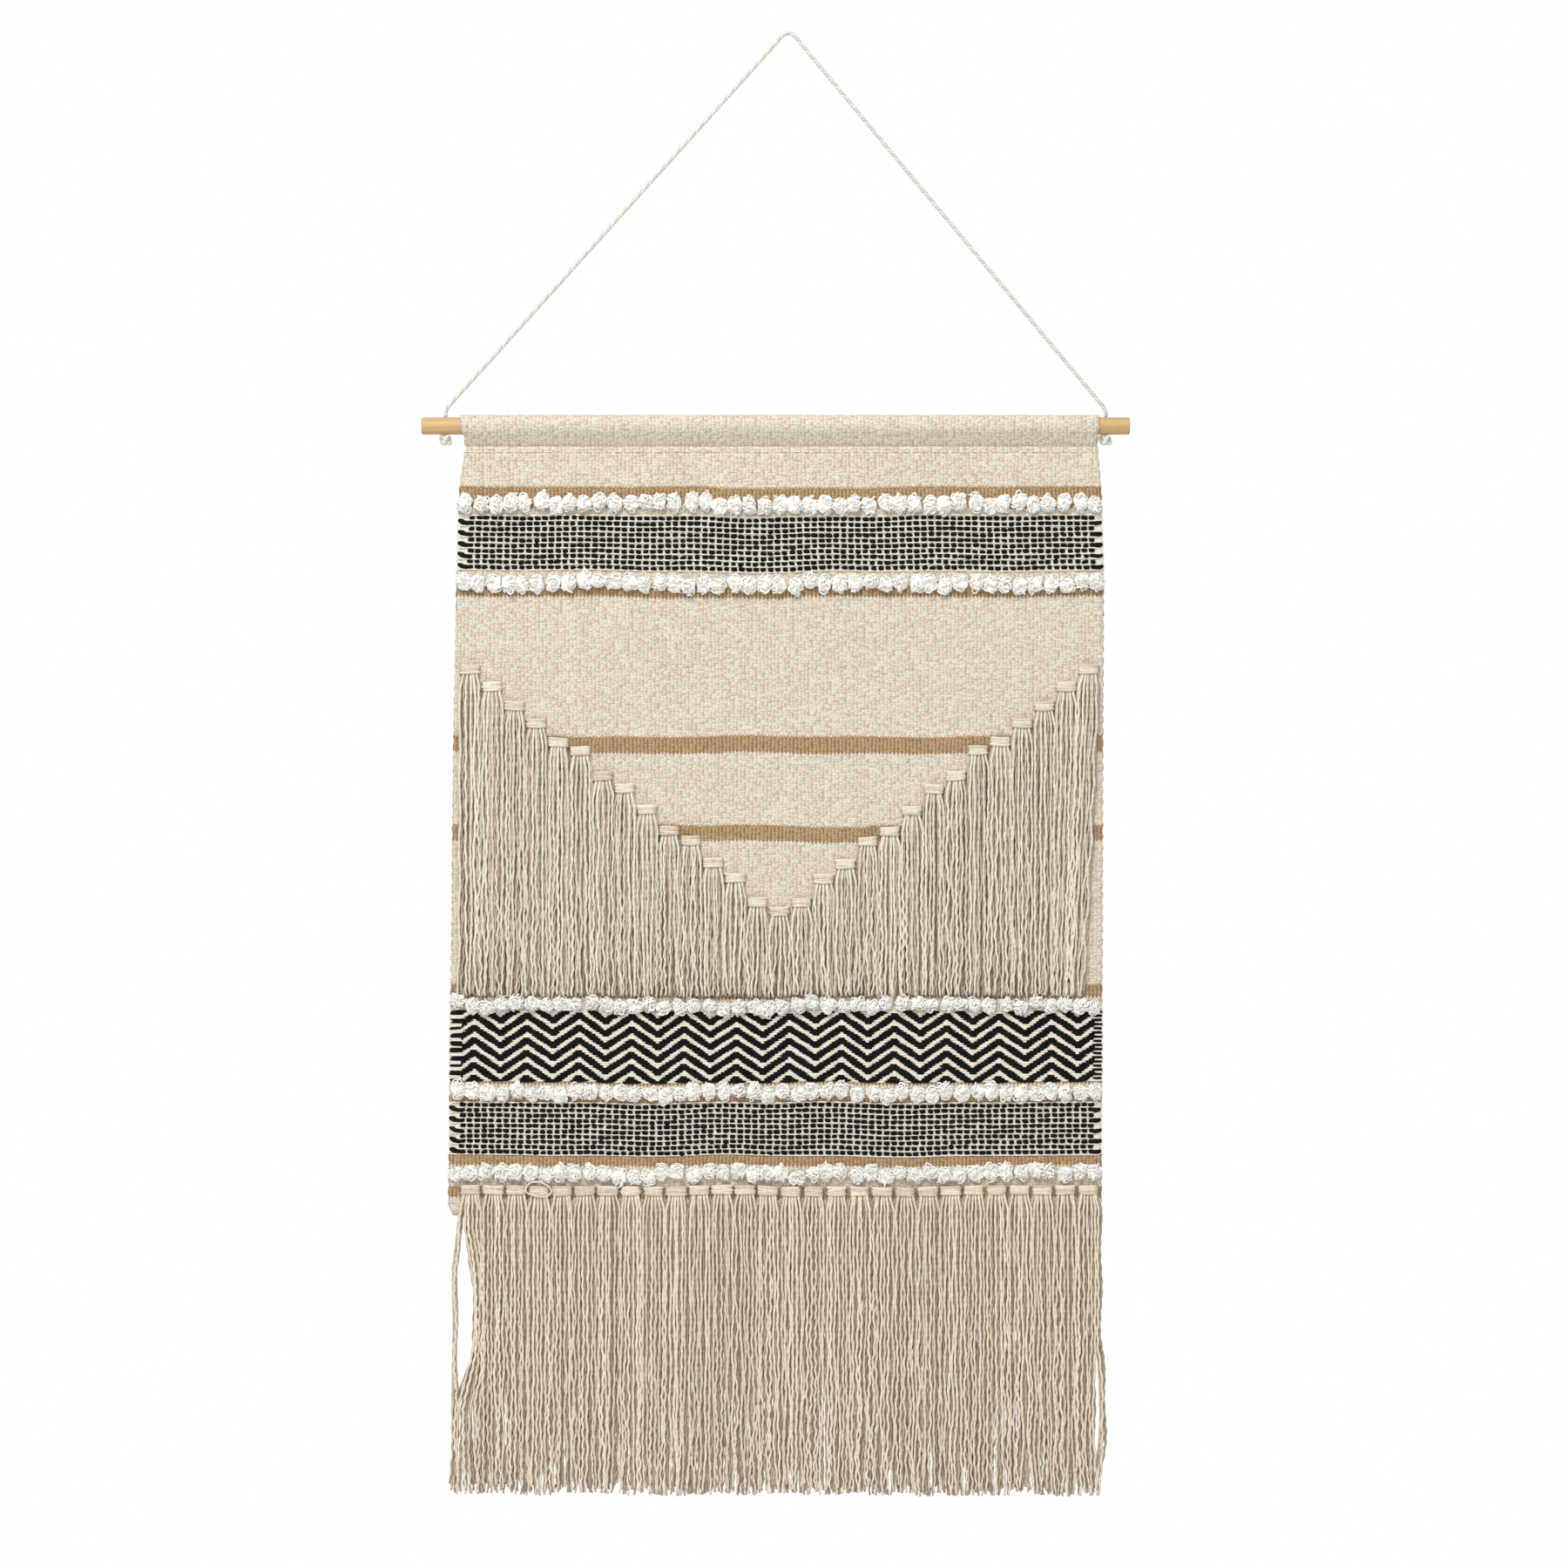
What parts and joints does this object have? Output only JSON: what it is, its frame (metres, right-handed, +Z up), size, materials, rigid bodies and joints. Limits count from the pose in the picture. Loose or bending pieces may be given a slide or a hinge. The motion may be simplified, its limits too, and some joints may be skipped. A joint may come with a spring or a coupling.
{
  "type": "tapestry wall hanging",
  "caption": "Handwoven wall hanging with a rod pocket on a round wooden dowel, a cotton hanging cord, looped-yarn rows, a V of tassels and a hem fringe.",
  "frame": {"origin": "hanging point: the underside of the cord at its highest place, where it rests on a nail or hook", "axes": "+Z up along the hanging's height, -Y out of the front, +Y towards the wall, +X to the right seen from the front"},
  "size_m": [0.52, 0.0166, 1.0719],
  "materials": {
    "pale_wood": "sanded, unvarnished",
    "cotton_cord": "twisted cotton",
    "handwoven_cotton": "weft-faced hand weave",
    "sewing_thread": "cotton thread",
    "white_loop_yarn": "looped wool",
    "grey_cream_yarn": "cut twisted cotton",
    "beige_yarn": "cut twisted cotton"
  },
  "bodies": {
    "hanger": {"hanging_cord": "cotton_cord"},
    "dowel": {"dowel_rod": "pale_wood", "cord_knot_left": "cotton_cord", "cord_knot_right": "cotton_cord"},
    "panel": {"woven_panel": "handwoven_cotton", "pocket_stitching": "sewing_thread", "loop_row_1": "white_loop_yarn", "loop_row_2": "white_loop_yarn", "loop_row_3": "white_loop_yarn", "loop_row_4": "white_loop_yarn", "loop_row_5": "white_loop_yarn"},
    "v_tassel_01_body": {"v_tassel_01": "grey_cream_yarn"},
    "v_tassel_02_body": {"v_tassel_02": "grey_cream_yarn"},
    "v_tassel_03_body": {"v_tassel_03": "grey_cream_yarn"},
    "v_tassel_04_body": {"v_tassel_04": "grey_cream_yarn"},
    "v_tassel_05_body": {"v_tassel_05": "grey_cream_yarn"},
    "v_tassel_06_body": {"v_tassel_06": "grey_cream_yarn"},
    "v_tassel_07_body": {"v_tassel_07": "grey_cream_yarn"},
    "v_tassel_08_body": {"v_tassel_08": "grey_cream_yarn"},
    "v_tassel_09_body": {"v_tassel_09": "grey_cream_yarn"},
    "v_tassel_10_body": {"v_tassel_10": "grey_cream_yarn"},
    "v_tassel_11_body": {"v_tassel_11": "grey_cream_yarn"},
    "v_tassel_12_body": {"v_tassel_12": "grey_cream_yarn"},
    "v_tassel_13_body": {"v_tassel_13": "grey_cream_yarn"},
    "v_tassel_14_body": {"v_tassel_14": "grey_cream_yarn"},
    "v_tassel_15_body": {"v_tassel_15": "grey_cream_yarn"},
    "v_tassel_16_body": {"v_tassel_16": "grey_cream_yarn"},
    "v_tassel_17_body": {"v_tassel_17": "grey_cream_yarn"},
    "v_tassel_18_body": {"v_tassel_18": "grey_cream_yarn"},
    "v_tassel_19_body": {"v_tassel_19": "grey_cream_yarn"},
    "v_tassel_20_body": {"v_tassel_20": "grey_cream_yarn"},
    "v_tassel_21_body": {"v_tassel_21": "grey_cream_yarn"},
    "v_tassel_22_body": {"v_tassel_22": "grey_cream_yarn"},
    "v_tassel_23_body": {"v_tassel_23": "grey_cream_yarn"},
    "v_tassel_24_body": {"v_tassel_24": "grey_cream_yarn"},
    "v_tassel_25_body": {"v_tassel_25": "grey_cream_yarn"},
    "v_tassel_26_body": {"v_tassel_26": "grey_cream_yarn"},
    "v_tassel_27_body": {"v_tassel_27": "grey_cream_yarn"},
    "v_tassel_28_body": {"v_tassel_28": "grey_cream_yarn"},
    "v_tassel_29_body": {"v_tassel_29": "grey_cream_yarn"},
    "hem_tassel_01_body": {"hem_tassel_01": "beige_yarn"},
    "hem_tassel_02_body": {"hem_tassel_02": "beige_yarn"},
    "hem_tassel_03_body": {"hem_tassel_03": "beige_yarn"},
    "hem_tassel_04_body": {"hem_tassel_04": "beige_yarn"},
    "hem_tassel_05_body": {"hem_tassel_05": "beige_yarn"},
    "hem_tassel_06_body": {"hem_tassel_06": "beige_yarn"},
    "hem_tassel_07_body": {"hem_tassel_07": "beige_yarn"},
    "hem_tassel_08_body": {"hem_tassel_08": "beige_yarn"},
    "hem_tassel_09_body": {"hem_tassel_09": "beige_yarn"},
    "hem_tassel_10_body": {"hem_tassel_10": "beige_yarn"},
    "hem_tassel_11_body": {"hem_tassel_11": "beige_yarn"},
    "hem_tassel_12_body": {"hem_tassel_12": "beige_yarn"},
    "hem_tassel_13_body": {"hem_tassel_13": "beige_yarn"},
    "hem_tassel_14_body": {"hem_tassel_14": "beige_yarn"}
  },
  "joints": [
    {"name": "dowel_roll", "type": "hinge", "parent": "hanger", "child": "dowel", "pos_m": [-0.0093, 0, -0.287], "axis": [1, 0, 0], "range_deg": [-90, 90]},
    {"name": "panel_swing", "type": "hinge", "parent": "dowel", "child": "panel", "pos_m": [-0.0093, 0, -0.287], "axis": [-1, 0, 0], "range_deg": [-45, 45]},
    {"name": "v_tassel_01_swing", "type": "hinge", "parent": "panel", "child": "v_tassel_01_body", "pos_m": [-0.23392, -0.0062, -0.4625], "axis": [-1, 0, 0], "range_deg": [0, 60]},
    {"name": "v_tassel_02_swing", "type": "hinge", "parent": "panel", "child": "v_tassel_02_body", "pos_m": [-0.21769, -0.0062, -0.47517], "axis": [-1, 0, 0], "range_deg": [0, 60]},
    {"name": "v_tassel_03_swing", "type": "hinge", "parent": "panel", "child": "v_tassel_03_body", "pos_m": [-0.20146, -0.0062, -0.48914], "axis": [-1, 0, 0], "range_deg": [0, 60]},
    {"name": "v_tassel_04_swing", "type": "hinge", "parent": "panel", "child": "v_tassel_04_body", "pos_m": [-0.18523, -0.0062, -0.50171], "axis": [-1, 0, 0], "range_deg": [0, 60]},
    {"name": "v_tassel_05_swing", "type": "hinge", "parent": "panel", "child": "v_tassel_05_body", "pos_m": [-0.169, -0.0062, -0.51519], "axis": [-1, 0, 0], "range_deg": [0, 60]},
    {"name": "v_tassel_06_swing", "type": "hinge", "parent": "panel", "child": "v_tassel_06_body", "pos_m": [-0.15277, -0.0062, -0.52136], "axis": [-1, 0, 0], "range_deg": [0, 60]},
    {"name": "v_tassel_07_swing", "type": "hinge", "parent": "panel", "child": "v_tassel_07_body", "pos_m": [-0.13654, -0.0062, -0.53973], "axis": [-1, 0, 0], "range_deg": [0, 60]},
    {"name": "v_tassel_08_swing", "type": "hinge", "parent": "panel", "child": "v_tassel_08_body", "pos_m": [-0.12031, -0.0062, -0.5491], "axis": [-1, 0, 0], "range_deg": [0, 60]},
    {"name": "v_tassel_09_swing", "type": "hinge", "parent": "panel", "child": "v_tassel_09_body", "pos_m": [-0.10408, -0.0062, -0.56517], "axis": [-1, 0, 0], "range_deg": [0, 60]},
    {"name": "v_tassel_10_swing", "type": "hinge", "parent": "panel", "child": "v_tassel_10_body", "pos_m": [-0.08785, -0.0062, -0.58064], "axis": [-1, 0, 0], "range_deg": [0, 60]},
    {"name": "v_tassel_11_swing", "type": "hinge", "parent": "panel", "child": "v_tassel_11_body", "pos_m": [-0.07162, -0.0062, -0.58751], "axis": [-1, 0, 0], "range_deg": [0, 60]},
    {"name": "v_tassel_12_swing", "type": "hinge", "parent": "panel", "child": "v_tassel_12_body", "pos_m": [-0.05539, -0.0062, -0.60349], "axis": [-1, 0, 0], "range_deg": [0, 60]},
    {"name": "v_tassel_13_swing", "type": "hinge", "parent": "panel", "child": "v_tassel_13_body", "pos_m": [-0.03916, -0.0062, -0.61426], "axis": [-1, 0, 0], "range_deg": [0, 60]},
    {"name": "v_tassel_14_swing", "type": "hinge", "parent": "panel", "child": "v_tassel_14_body", "pos_m": [-0.02293, -0.0062, -0.63223], "axis": [-1, 0, 0], "range_deg": [0, 60]},
    {"name": "v_tassel_15_swing", "type": "hinge", "parent": "panel", "child": "v_tassel_15_body", "pos_m": [-0.0067, -0.0062, -0.639], "axis": [-1, 0, 0], "range_deg": [0, 60]},
    {"name": "v_tassel_16_swing", "type": "hinge", "parent": "panel", "child": "v_tassel_16_body", "pos_m": [0.00953, -0.0062, -0.63223], "axis": [-1, 0, 0], "range_deg": [0, 60]},
    {"name": "v_tassel_17_swing", "type": "hinge", "parent": "panel", "child": "v_tassel_17_body", "pos_m": [0.02576, -0.0062, -0.61426], "axis": [-1, 0, 0], "range_deg": [0, 60]},
    {"name": "v_tassel_18_swing", "type": "hinge", "parent": "panel", "child": "v_tassel_18_body", "pos_m": [0.04199, -0.0062, -0.60349], "axis": [-1, 0, 0], "range_deg": [0, 60]},
    {"name": "v_tassel_19_swing", "type": "hinge", "parent": "panel", "child": "v_tassel_19_body", "pos_m": [0.05822, -0.0062, -0.58751], "axis": [-1, 0, 0], "range_deg": [0, 60]},
    {"name": "v_tassel_20_swing", "type": "hinge", "parent": "panel", "child": "v_tassel_20_body", "pos_m": [0.07445, -0.0062, -0.58064], "axis": [-1, 0, 0], "range_deg": [0, 60]},
    {"name": "v_tassel_21_swing", "type": "hinge", "parent": "panel", "child": "v_tassel_21_body", "pos_m": [0.09068, -0.0062, -0.56517], "axis": [-1, 0, 0], "range_deg": [0, 60]},
    {"name": "v_tassel_22_swing", "type": "hinge", "parent": "panel", "child": "v_tassel_22_body", "pos_m": [0.10691, -0.0062, -0.5491], "axis": [-1, 0, 0], "range_deg": [0, 60]},
    {"name": "v_tassel_23_swing", "type": "hinge", "parent": "panel", "child": "v_tassel_23_body", "pos_m": [0.12314, -0.0062, -0.53973], "axis": [-1, 0, 0], "range_deg": [0, 60]},
    {"name": "v_tassel_24_swing", "type": "hinge", "parent": "panel", "child": "v_tassel_24_body", "pos_m": [0.13937, -0.0062, -0.52136], "axis": [-1, 0, 0], "range_deg": [0, 60]},
    {"name": "v_tassel_25_swing", "type": "hinge", "parent": "panel", "child": "v_tassel_25_body", "pos_m": [0.1556, -0.0062, -0.51519], "axis": [-1, 0, 0], "range_deg": [0, 60]},
    {"name": "v_tassel_26_swing", "type": "hinge", "parent": "panel", "child": "v_tassel_26_body", "pos_m": [0.17183, -0.0062, -0.50171], "axis": [-1, 0, 0], "range_deg": [0, 60]},
    {"name": "v_tassel_27_swing", "type": "hinge", "parent": "panel", "child": "v_tassel_27_body", "pos_m": [0.18806, -0.0062, -0.48914], "axis": [-1, 0, 0], "range_deg": [0, 60]},
    {"name": "v_tassel_28_swing", "type": "hinge", "parent": "panel", "child": "v_tassel_28_body", "pos_m": [0.20429, -0.0062, -0.47517], "axis": [-1, 0, 0], "range_deg": [0, 60]},
    {"name": "v_tassel_29_swing", "type": "hinge", "parent": "panel", "child": "v_tassel_29_body", "pos_m": [0.22051, -0.0062, -0.4625], "axis": [-1, 0, 0], "range_deg": [0, 60]},
    {"name": "hem_tassel_01_swing", "type": "hinge", "parent": "panel", "child": "hem_tassel_01_body", "pos_m": [-0.2251, -0.0066, -0.8446], "axis": [-1, 0, 0], "range_deg": [0, 60]},
    {"name": "hem_tassel_02_swing", "type": "hinge", "parent": "panel", "child": "hem_tassel_02_body", "pos_m": [-0.1915, -0.0066, -0.8446], "axis": [-1, 0, 0], "range_deg": [0, 60]},
    {"name": "hem_tassel_03_swing", "type": "hinge", "parent": "panel", "child": "hem_tassel_03_body", "pos_m": [-0.1579, -0.0066, -0.8446], "axis": [-1, 0, 0], "range_deg": [0, 60]},
    {"name": "hem_tassel_04_swing", "type": "hinge", "parent": "panel", "child": "hem_tassel_04_body", "pos_m": [-0.1243, -0.0066, -0.8446], "axis": [-1, 0, 0], "range_deg": [0, 60]},
    {"name": "hem_tassel_05_swing", "type": "hinge", "parent": "panel", "child": "hem_tassel_05_body", "pos_m": [-0.0907, -0.0066, -0.8446], "axis": [-1, 0, 0], "range_deg": [0, 60]},
    {"name": "hem_tassel_06_swing", "type": "hinge", "parent": "panel", "child": "hem_tassel_06_body", "pos_m": [-0.0571, -0.0066, -0.8446], "axis": [-1, 0, 0], "range_deg": [0, 60]},
    {"name": "hem_tassel_07_swing", "type": "hinge", "parent": "panel", "child": "hem_tassel_07_body", "pos_m": [-0.0235, -0.0066, -0.8446], "axis": [-1, 0, 0], "range_deg": [0, 60]},
    {"name": "hem_tassel_08_swing", "type": "hinge", "parent": "panel", "child": "hem_tassel_08_body", "pos_m": [0.0101, -0.0066, -0.8446], "axis": [-1, 0, 0], "range_deg": [0, 60]},
    {"name": "hem_tassel_09_swing", "type": "hinge", "parent": "panel", "child": "hem_tassel_09_body", "pos_m": [0.0437, -0.0066, -0.8446], "axis": [-1, 0, 0], "range_deg": [0, 60]},
    {"name": "hem_tassel_10_swing", "type": "hinge", "parent": "panel", "child": "hem_tassel_10_body", "pos_m": [0.0773, -0.0066, -0.8446], "axis": [-1, 0, 0], "range_deg": [0, 60]},
    {"name": "hem_tassel_11_swing", "type": "hinge", "parent": "panel", "child": "hem_tassel_11_body", "pos_m": [0.1109, -0.0066, -0.8446], "axis": [-1, 0, 0], "range_deg": [0, 60]},
    {"name": "hem_tassel_12_swing", "type": "hinge", "parent": "panel", "child": "hem_tassel_12_body", "pos_m": [0.1445, -0.0066, -0.8446], "axis": [-1, 0, 0], "range_deg": [0, 60]},
    {"name": "hem_tassel_13_swing", "type": "hinge", "parent": "panel", "child": "hem_tassel_13_body", "pos_m": [0.1781, -0.0066, -0.8446], "axis": [-1, 0, 0], "range_deg": [0, 60]},
    {"name": "hem_tassel_14_swing", "type": "hinge", "parent": "panel", "child": "hem_tassel_14_body", "pos_m": [0.2117, -0.0066, -0.8446], "axis": [-1, 0, 0], "range_deg": [0, 60]}
  ]
}
